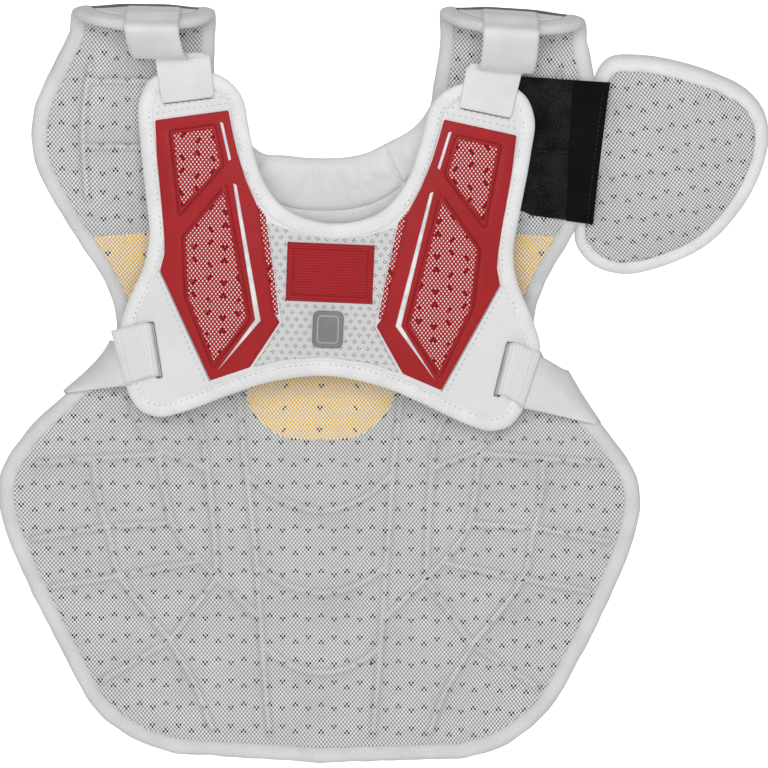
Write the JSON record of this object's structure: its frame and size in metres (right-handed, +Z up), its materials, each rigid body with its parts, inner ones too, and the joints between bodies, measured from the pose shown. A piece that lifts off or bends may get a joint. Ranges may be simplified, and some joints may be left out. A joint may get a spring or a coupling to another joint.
{
  "type": "baseball chest protector",
  "caption": "Catcher's chest protector: quilted pad with curled shoulder wings, white padded collar, red-trimmed back harness on straps, and an arm guard on the wearer's right.",
  "frame": {"origin": "midway between the wearer's shoulders, at the height where the shoulder tongues bear on them", "axes": "+X to the wearer's right, +Y to the wearer's front, +Z up"},
  "size_m": [0.5454, 0.176, 0.5376],
  "materials": {
    "lining": "light grey open diamond mesh over padding",
    "foam": "yellow foam seen through the mesh lining",
    "binding": "white woven edge binding with a row of stitches",
    "white_cover": "smooth white synthetic leather",
    "spacer": "white spacer mesh with clusters of small holes",
    "red_cover": "red synthetic leather with fine grain",
    "red_mesh": "red open diamond mesh",
    "stripe": "white raised print",
    "label": "red woven label, blank",
    "rubber": "grey moulded rubber, blank",
    "strap": "white brushed loop webbing",
    "elastic": "white ribbed elastic webbing",
    "black_strap": "black brushed loop fabric"
  },
  "bodies": {
    "root": {"chest_pad": "lining", "arm_guard_pad": "lining", "foam_insert_center": "foam", "foam_insert_left": "foam", "foam_insert_right": "foam", "chest_binding": "binding", "harness_binding": "binding", "arm_guard_binding": "binding", "collar_pad": "white_cover", "harness_plate": "white_cover", "spacer_mesh": "spacer", "label": "label", "rubber_patch": "rubber", "arm_guard_strap": "black_strap", "arm_guard_tab": "black_strap", "shoulder_patch_left": "white_cover", "red_overlay_left": "red_cover", "window_upper_left": "red_mesh", "window_lower_left": "red_mesh", "mesh_sliver_left": "red_mesh", "stripe_short_left": "stripe", "stripe_long_left": "stripe", "shoulder_strap_left": "strap", "strap_tab_left": "strap", "side_strap_left": "strap", "side_elastic_left": "elastic", "shoulder_patch_right": "white_cover", "red_overlay_right": "red_cover", "window_upper_right": "red_mesh", "window_lower_right": "red_mesh", "mesh_sliver_right": "red_mesh", "stripe_short_right": "stripe", "stripe_long_right": "stripe", "shoulder_strap_right": "strap", "strap_tab_right": "strap", "side_strap_right": "strap", "side_elastic_right": "elastic"}
  },
  "joints": []
}
